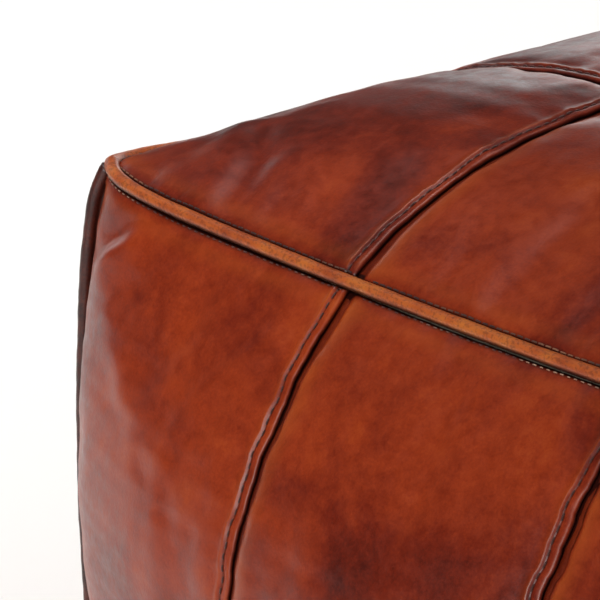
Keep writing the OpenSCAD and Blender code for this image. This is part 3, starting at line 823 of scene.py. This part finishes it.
# Folds that the corners pull into the leather: x, y along the face in metres from its middle, angle,
# length, width, depth
cornerFolds = [(-0.186, 0.184, 53, 0.034, 0.0065, 0.0024), (-0.170, 0.168, 50, 0.035, 0.009, -0.0012),
               (-0.165, 0.115, 128, 0.06, 0.014, 0.0008), (-0.112, 0.135, 62, 0.08, 0.018, 0.0008),
               (-0.130, 0.012, 72, 0.08, 0.016, 0.0006)]
topFolds = [(-0.170, -0.192, -49, 0.035, 0.008, 0.0012)]


# Which edges of a cell are sewn how: a panel laps over the next to its right and, on the top, to its front
def edgeKinds(cell, lowSeam, highSeam):
    low = "piped" if cell == 0 else lowSeam
    high = "piped" if cell == 2 else highSeam
    return low, high


def sewnPiece(name, made, material, shade):
    rows, cols = made["tone"].shape
    points = np.concatenate([made["outer"].reshape(-1, 3), made["inner"].reshape(-1, 3)])
    # The inner face is darkened with a tone of -0.5, as painted shade
    tone = np.concatenate([made["tone"].ravel(), np.full(rows * cols, -0.5)])
    mesh = meshFrom(name, points, shellQuads(rows, cols),
                    {"tone": tone, "shade": np.full(len(points), shade)})
    makePiece(name, mesh, material, (name,))


stitchRows = {"dark": [], "edge": [], "cream": []}


# The line of stitches near one edge of a panel, taken off its own surface
def takeRow(made, way, side, colour, trim=0):
    first = side in ("left", "low")
    kind = way["kinds"][0 if first else 1]
    offsets = way["low" if first else "high"]
    mask = way["share"] == (0 if first else 1)
    index = int(np.argmin(np.where(mask, np.abs(offsets - sewing["rowIn"][kind] * mm), 9)))
    pick = (slice(None), index) if side in ("left", "right") else (index, slice(None))
    points, out = made["outer"][pick], made["out"][pick]
    kept = slice(trim, len(points) - trim)
    stitchRows[colour].append((points[kept], out[kept]))


pieceNumber = 0
for row in range(3):
    for column in range(3):
        name = "top_patch_" + rowNames[row] + "_" + columnNames[column]
        node = "top_patch_centre" if (row, column) == (1, 1) else name
        uWay = lane(*edgeKinds(column, "under", "over"), panelLines["inside"])
        vWay = lane(*edgeKinds(row, "over", "under"), panelLines["inside"])
        flipX, flipY = 1 - column, 1 - row
        flip = flipX * flipY
        folds = [(x * flipX, y * flipY, angle * flip, *size) for x, y, angle, *size in topFolds if flip]
        made = panel(topSkin, (column, row), edges[column:column + 2], edges[row:row + 2], (uWay, vWay),
                     folds=folds, slack=slacks[4], seeds=(50 + column, 51 + column, 60 + row, 61 + row))
        sewnPiece(node, made, panelLeather, shades[pieceNumber])
        if column < 2:
            takeRow(made, uWay, "right", "dark", panelLines["topTrim"])
        if row > 0:
            takeRow(made, vWay, "low", "dark", panelLines["topTrim"])
        outside = ((column == 0, uWay, "left"), (column == 2, uWay, "right"),
                   (row == 0, vWay, "low"), (row == 2, vWay, "high"))
        for piped, way, side in outside:
            if piped:
                takeRow(made, way, side, "edge", panelLines["trim"])
        pieceNumber += 1

for face in range(4):
    for column in range(3):
        node = "side_panel_" + sideColumns[face][column]
        uWay = lane(*edgeKinds(column, "under", "over"), panelLines["inside"])
        vWay = lane("piped", "piped", panelLines["alongSide"])
        flip = 1 - column
        folds = [(x * flip, y, angle if flip > 0 else 180 - angle, *size)
                 for x, y, angle, *size in cornerFolds if flip]
        first = 100 + 10 * face + column
        made = panel(sideSkin, (column,), edges[column:column + 2], (-1, 1), (uWay, vWay), face, folds,
                     slacks[face], (first, first + 1, 5, 6))
        sewnPiece(node, made, panelLeather, shades[pieceNumber])
        if column < 2:
            takeRow(made, uWay, "right", "dark", panelLines["trim"])
        takeRow(made, vWay, "high", "cream", panelLines["trim"])
        pieceNumber += 1
print("panels:", pieceNumber)

# Base panels, one each side of the zip, whose slot closes past the zip's ends
zipSlot = {"closed": 0.2 * mm, "start": 0.009, "ramp": 0.008}


def slotEdge(u):
    open = np.clip((zipHalf + zipSlot["start"] - np.abs(u) * loopHalf) / zipSlot["ramp"], 0, 1)
    return (zipSlot["closed"] + (slotHalf - zipSlot["closed"]) * open) / loopHalf


for side, sign in (("back", 1), ("front", -1)):
    uWay = lane("piped", "piped", panelLines["baseLong"])
    vWay = lane("hem", "piped", panelLines["baseAcross"])
    middle = 2 * uWay["share"] - 1
    made = panel(baseSkin, (0,), (-1, 1), (slotEdge(middle)[None, :], 1), (uWay, vWay), flip=-1)
    for key in ("outer", "inner", "out"):
        made[key] = made[key] * np.array([1, sign, 1])
    for key in ("outer", "inner"):
        made[key][..., 2] = np.maximum(made[key][..., 2], 0)
    if sign == 1:
        made = {key: grid[:, ::-1] for key, grid in made.items()}
    sewnPiece("base_panel_" + side, made, baseLeather, 0.1 * sign)
print("base ready")

# Piping: a strip folded round a cord, its two plies running in between the panels

piping = {
    "radius": 2.6, "ply": 0.8, "flange": 6.0, "slit": 0.06, "steps": 22, "perSide": 150,
    "cornerSteps": 150, "cornerSwell": 0.12, "swellReach": 0.05,
    "weltProud": 1.2, "weltTaper": 0.12, "weltEnd": 1.2,
    "cordRadius": 1.6, "cordSides": 18, "strands": 3, "lay": 0.011, "groove": 0.22,
    "lumpSpans": (0.047, 0.021, 0.0085), "lumpHeights": (1.0, 0.7, 0.5),
    # painted shade: the tone of the plies between the panels, and how far up the round its lower side darkens
    "flangeTone": -0.8, "shadeReach": 0.35,
}


def sleeveProfile():
    r, ply, slit, steps = piping["radius"], piping["ply"], piping["slit"], piping["steps"]
    bore = r - ply
    outerGap = math.asin((ply + slit) / r)
    innerGap = math.asin(slit / bore)
    down = math.radians(270)
    full = 2 * math.pi
    outer = [down - outerGap - k * (full - 2 * outerGap) / steps for k in range(steps + 1)]
    inner = [down - innerGap - k * (full - 2 * innerGap) / steps for k in range(steps, -1, -1)]
    flanges = np.linspace(-piping["flange"], -r - 0.6, 4)
    half = ply + slit
    points = [(-half, y, 0) for y in flanges] + [(r * math.cos(a), r * math.sin(a), 1) for a in outer]
    points += [(half, y, 0) for y in flanges[::-1]] + [(slit, -piping["flange"], 0)]
    points += [(bore * math.cos(a), bore * math.sin(a), 0) for a in inner] + [(-slit, -piping["flange"], 0)]
    return np.array(points)


# Quads between rings of n points, with the last ring joined to the first where they close
def ringQuads(count, n, closed=False):
    start = np.arange(count if closed else count - 1)[:, None] * n
    a = (start + np.arange(n)).ravel()
    b = (start + (np.arange(n) + 1) % n).ravel()
    total = n * count
    return np.stack([a, b, (b + n) % total, (a + n) % total], -1)


# Caps over the first and the last ring, as quads folded over their middle
def ringCaps(count, n):
    caps = []
    for base, flip in ((0, False), ((count - 1) * n, True)):
        for k in range(n // 2 - 1):
            quad = [base + k, base + n - 1 - k, base + n - 2 - k, base + k + 1]
            caps.append(quad[::-1] if flip else quad)
    return np.array(caps)


# Rings along a path, each a profile set square to it. Closed paths join up, and open ones are capped. The
# profile's third value is how much a point swells with the lumps. strands twist it as a laid cord.
def sweep(path, outward, profile, closed, swell=1.0, strands=0, lumps=0.0, seed=3, shaded=0.0):
    count, n = len(path), len(profile)
    if closed:
        along = np.roll(path, -1, 0) - np.roll(path, 1, 0)
    else:
        along = np.gradient(path, axis=0)
    along /= np.linalg.norm(along, axis=1, keepdims=True)
    out = outward - np.sum(outward * along, 1, keepdims=True) * along
    out /= np.linalg.norm(out, axis=1, keepdims=True)
    side = np.cross(along, out)
    length = np.concatenate([[0], np.cumsum(np.linalg.norm(np.diff(path, axis=0), axis=1))])
    x, y, swells = [np.repeat(column[None, :], count, 0) for column in profile.T]
    if strands:
        angle = np.arctan2(y, x)
        turns = 2 * math.pi * length[:, None] / piping["lay"]
        ridges = np.abs(np.cos(strands / 2 * (angle - turns)))
        radius = np.hypot(x, y) * (1 - piping["groove"] + piping["groove"] * ridges)
        x, y = radius * np.cos(angle), radius * np.sin(angle)
    total = length[-1] + np.linalg.norm(path[0] - path[-1])
    loops = np.maximum(1, np.round(total / np.array(piping["lumpSpans"])))
    phases = np.random.default_rng(seed).random(3) * 6.28
    size = np.ones(count) * swell + lumps * sum(
        height * np.sin(2 * math.pi * k * length / total + phase)
        for height, k, phase in zip(piping["lumpHeights"], loops, phases))
    grow = 1 + (size[:, None] - 1) * swells
    points = path[:, None, :] + (x * grow)[..., None] * mm * side[:, None, :] + \
        (y * grow)[..., None] * mm * out[:, None, :]
    quads = ringQuads(count, n, closed)
    if not closed:
        quads = np.concatenate([quads, ringCaps(count, n)])
    # Painted shade: the plies between the panels are darkened, and the lower side of the round by shaded
    low = (path[:, None, 2] - points[..., 2]) / (piping["radius"] * mm)
    tone = np.where(swells > 0, 0.0, piping["flangeTone"])
    tone = tone - np.clip(low / piping["shadeReach"], 0, 1) * (swells > 0) * shaded
    return points, quads, tone


# The seam round the top (v = 1) or the base (v = -1), the way out from it and its swell at the corners
def loopPath(v):
    us = np.sin(np.linspace(-math.pi / 2, math.pi / 2, piping["perSide"], endpoint=False))
    points = np.concatenate([turned(sideSkin(us, np.full_like(us, v)), face) for face in range(4)])
    along = np.roll(points, -1, 0) - np.roll(points, 1, 0)
    flat = np.stack([along[:, 1], -along[:, 0], np.zeros(len(points))], -1)
    flat /= np.linalg.norm(flat, axis=1, keepdims=True)
    reach = np.tile(np.exp(-((1 - np.abs(us)) / piping["swellReach"]) ** 2), 4)
    return points, flat + np.array([0, 0, v]), 1 + piping["cornerSwell"] * reach


cordTurn = np.linspace(0, -2 * math.pi, piping["cordSides"], False)
radius = piping["cordRadius"]
cordRound = np.array([(radius * math.cos(a), radius * math.sin(a), 1) for a in cordTurn])
sleeve = sleeveProfile()


# One run of piping: its leather sleeve, and the laid cotton cord inside it
def pipedRun(names, stands, leather, slot, path, outward, closed, swell=1.0, **looks):
    points, quads, tone = sweep(path, outward, sleeve, closed, swell, **looks)
    makePiece(names[0], meshFrom(names[0], points, quads, {"tone": tone}), leather, stands[:1])
    points, quads, tone = sweep(path, outward, cordRound, closed, strands=piping["strands"])
    makePiece(names[1], meshFrom(names[1], points, quads), cordCotton, stands[1:])


loops = (("top", 1, tanPiping, "piping_leather"), ("base", -1, darkWelt, "welt_leather"))
for level, v, leather, slot in loops:
    path, outward, swell = loopPath(v)
    pipedRun((level + "_piping", level + "_cotton_cord"), (level + "_piping_cover", level + "_piping_cord"),
             leather, slot, path, outward, True, swell, lumps=0.022, seed=3 + v, shaded=0.9)

for face, corner in enumerate(("front_left", "front_right", "back_right", "back_left")):
    reach = 1 - 2 * piping["weltEnd"] * mm / (topLoop - baseLoop)
    vs = np.linspace(reach, -reach, piping["cornerSteps"])
    path = turned(sideSkin(np.full_like(vs, -1), vs), face)
    outward = path * np.array([1, 1, 0])
    proud = piping["weltProud"] * mm * np.minimum(1, (1 - np.abs(vs)) / piping["weltTaper"])
    path = path + proud[:, None] * outward / np.linalg.norm(outward, axis=1, keepdims=True)
    pipedRun(("corner_welt_" + corner, "corner_cotton_cord_" + corner),
             ("corner_piping_" + corner, "corner_cord_" + corner),
             darkWelt, "welt_leather", path, outward, False, lumps=0.035, seed=20 + face)
print("piping ready")

# Stitches: one bowed thread after another along each row, made by nodes

stitching = {
    "dark": {"pitch": 4.2, "length": 2.3, "radius": 0.36, "bow": 0.45, "thread": darkThread,
             "slot": "panel_leather"},
    "edge": {"pitch": 3.4, "length": 2.4, "radius": 0.3, "bow": 0.35, "thread": stainedThread,
             "slot": "piping_leather"},
    "cream": {"pitch": 3.3, "length": 1.5, "radius": 0.24, "bow": 0.3, "thread": creamThread,
              "slot": "piping_leather"},
}


def stitchTree():
    tree = bpy.data.node_groups.new("stitch_rows", "GeometryNodeTree")
    tree.interface.new_socket("Rows", in_out="INPUT", socket_type="NodeSocketGeometry")
    for label, value in (("Pitch", 0.0042), ("Length", 0.0032), ("Radius", 0.0004), ("Bow", 0.0005),
                         ("Smallest", 0.88), ("Largest", 1.1)):
        tree.interface.new_socket(label, in_out="INPUT", socket_type="NodeSocketFloat").default_value = value
    tree.interface.new_socket("Seed", in_out="INPUT", socket_type="NodeSocketInt").default_value = 4
    tree.interface.new_socket("Thread", in_out="INPUT", socket_type="NodeSocketMaterial")
    tree.interface.new_socket("Stitches", in_out="OUTPUT", socket_type="NodeSocketGeometry")
    given = tree.nodes.new("NodeGroupInput").outputs
    rows = addNode(tree, "GeometryNodeMeshToCurve", {"Mesh": given["Rows"]})
    even = addNode(tree, "GeometryNodeResampleCurve", {"Curve": rows, "Length": given["Pitch"]},
                   mode="LENGTH")
    spots = tree.nodes.new("GeometryNodeCurveToPoints")
    spots.mode = "EVALUATED"
    tree.links.new(even, spots.inputs["Curve"])
    outward = addNode(tree, "GeometryNodeInputNamedAttribute", {"Name": "outward"}, data_type="FLOAT_VECTOR")
    lying = addNode(tree, "FunctionNodeAlignRotationToVector", {"Vector": spots.outputs["Tangent"]}, axis="X")
    facing = addNode(tree, "FunctionNodeAlignRotationToVector", {"Rotation": lying, "Vector": outward},
                     axis="Z", pivot_axis="X")
    half, back = [addNode(tree, "ShaderNodeMath", {0: given["Length"], 1: share}, operation="MULTIPLY")
                  for share in (0.5, -0.5)]
    ends = [addNode(tree, "ShaderNodeCombineXYZ", {0: x, 2: z})
            for x, z in ((back, 0.0), (0.0, given["Bow"]), (half, 0.0))]
    thread = addNode(tree, "GeometryNodeCurveQuadraticBezier",
                     {"Resolution": 5, "Start": ends[0], "Middle": ends[1], "End": ends[2]})
    ring = addNode(tree, "GeometryNodeCurvePrimitiveCircle", {"Resolution": 6, "Radius": given["Radius"]})
    stitch = addNode(tree, "GeometryNodeCurveToMesh",
                     {"Curve": thread, "Profile Curve": ring, "Fill Caps": True})
    vary = addNode(tree, "FunctionNodeRandomValue",
                   {2: given["Smallest"], 3: given["Largest"], "Seed": given["Seed"]}, 1, data_type="FLOAT")
    placed = addNode(tree, "GeometryNodeInstanceOnPoints",
                     {"Points": spots.outputs[0], "Instance": stitch, "Rotation": facing, "Scale": vary})
    real = addNode(tree, "GeometryNodeRealizeInstances", {"Geometry": placed})
    smooth = addNode(tree, "GeometryNodeSetShadeSmooth", {"Geometry": real})
    done = addNode(tree, "GeometryNodeSetMaterial", {"Geometry": smooth, "Material": given["Thread"]})
    addNode(tree, "NodeGroupOutput", {0: done})
    return tree


def socketId(tree, label):
    return next(item.identifier for item in tree.interface.items_tree
                if item.name == label and item.in_out == "INPUT")


# One piece for all the rows of a kind
def sewRows(colour, rows, tree):
    s = stitching[colour]
    outward = np.concatenate([out for _, out in rows])
    lifted = np.concatenate([line for line, _ in rows]) + outward * sewing["threadLift"] * mm
    chains, start = [], 0
    for line, _ in rows:
        chains += [(k, k + 1) for k in range(start, start + len(line) - 1)]
        start += len(line)
    mesh = bpy.data.meshes.new("rows")
    mesh.from_pydata(lifted.tolist(), chains, [])
    layer = mesh.attributes.new("outward", "FLOAT_VECTOR", "POINT")
    layer.data.foreach_set("vector", outward.astype(np.float32).ravel())
    guide = bpy.data.objects.new("rows", mesh)
    bpy.context.scene.collection.objects.link(guide)
    modifier = guide.modifiers.new("stitches", "NODES")
    modifier.node_group = tree
    sizes = {label: s[label.lower()] * mm for label in ("Pitch", "Length", "Radius", "Bow")}
    for label, value in {**sizes, "Seed": 4, "Thread": s["thread"]}.items():
        modifier[socketId(tree, label)] = value
    sewn = bpy.data.meshes.new_from_object(guide.evaluated_get(bpy.context.evaluated_depsgraph_get()))
    bpy.data.objects.remove(guide)
    makePiece("stitches_" + colour, sewn, s["thread"])
    print("stitches,", colour + ":", len(sewn.polygons), "faces")


stitches = stitchTree()
for colour, rows in stitchRows.items():
    sewRows(colour, rows, stitches)

# Lining and filling

lining = {
    "leather": 1.6, "gap": 1.6, "cloth": 0.8, "clearance": 0.4, "cornerGap": 6.0, "cornerPower": 10,
    "around": 40, "upright": 34,
    "baseRings": (0.02, 0.15, 0.3, 0.45, 0.6, 0.7, 0.78, 0.85, 0.92, 0.97),
    "topRings": (0.97, 0.92, 0.85, 0.75, 0.62, 0.5, 0.38, 0.25, 0.13, 0.02),
    "zipRise": 10.8, "riseAcross": 0.006, "riseEnd": 0.024, "riseAlong": 0.008, "riseBelow": 0.02,
    "tufts": ((131, 97, 113), (211, 173, 190), (73, 61, 83)), "tuftDepth": 0.02,
}
middleHeight = (topLoop - pouf["edgeDip"] + pouf["topCrown"]) / 2
faceHalf = loopHalf + pouf["cornerBulge"] + pouf["faceBulge"]


# Points of the cover's skin, sunk in by the layers over them. far is 0 in the middle of a face and 1 at
# its edge.
def sunk(points, extra, far):
    corner = lining["cornerGap"] * far ** lining["cornerPower"]
    depth = (lining["leather"] + lining["gap"] + extra + corner) * mm
    shrink = 1 - depth / faceHalf
    z = middleHeight + (points[..., 2] - middleHeight) * (1 - depth / middleHeight)
    return np.stack([points[..., 0] * shrink, points[..., 1] * shrink, z], -1)


# Rings of the lining's shape, from the middle of the base to the middle of the top, hollowed over the zip
def liningBody(extra, tuftDepth=0.0):
    us = np.linspace(-1, 1, lining["around"], endpoint=False)

    def flatRing(skin, m):
        quarter = np.stack([m * us, np.full_like(us, -m), us * 0], -1)
        ring = np.concatenate([turned(quarter, q) for q in range(4)])
        return sunk(skin(ring[:, 0], ring[:, 1]), extra, m)

    def sideRing(v):
        ring = np.concatenate([turned(sideSkin(us, np.full_like(us, v)), q) for q in range(4)])
        return sunk(ring, extra, np.tile(np.maximum(np.abs(us), abs(v)), 4))

    heights = np.sin(np.linspace(-math.pi / 2, math.pi / 2, lining["upright"]))
    points = np.array([flatRing(baseSkin, m) for m in lining["baseRings"]] + [sideRing(v) for v in heights] +
                      [flatRing(topSkin, m) for m in lining["topRings"]])
    x, y, z = np.moveaxis(points, -1, 0)
    rise = np.clip((pouf["grooveHalf"] - np.abs(y)) / lining["riseAcross"], 0, 1)
    rise *= np.clip((zipHalf + lining["riseEnd"] - np.abs(x)) / lining["riseAlong"], 0, 1)
    rise *= z < lining["riseBelow"]
    points[..., 2] = np.maximum(z, rise * (lining["zipRise"] + extra) * mm)
    swell = sum(np.sin(x * a + b) * np.sin(y * b + c) * np.sin(z * c + a) for a, b, c in lining["tufts"])
    inwards = np.array([0, 0, middleHeight]) - points
    return points + inwards * (np.clip(swell * 0.5 + 0.5, 0, 1) * tuftDepth)[..., None]


def closedRings(points):
    return np.concatenate([ringQuads(*points.shape[:2]), ringCaps(*points.shape[:2])])


outerLiner = liningBody(0)
innerLiner = liningBody(lining["cloth"])
linerQuads = [closedRings(outerLiner), closedRings(innerLiner)[:, ::-1] + outerLiner.size // 3]
liner = meshFrom("liner_bag", np.concatenate([outerLiner, innerLiner]), np.concatenate(linerQuads))
makePiece("calico_liner", liner, linerCloth, ("liner_bag",))
fill = liningBody(lining["cloth"] + lining["clearance"], lining["tuftDepth"])
filling = meshFrom("filling", fill, closedRings(fill))
stuffing = makePiece("textile_filling", filling, wadding, ("filling",))
print("lining and filling ready")

# Zip: the frame's own parts, given their finishes

for name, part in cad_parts.items():
    if name.startswith("zip_"):
        part.data.materials.clear()
        part.data.materials.append(tapeCloth if name.startswith("zip_tape") else brass)
print("zip ready")
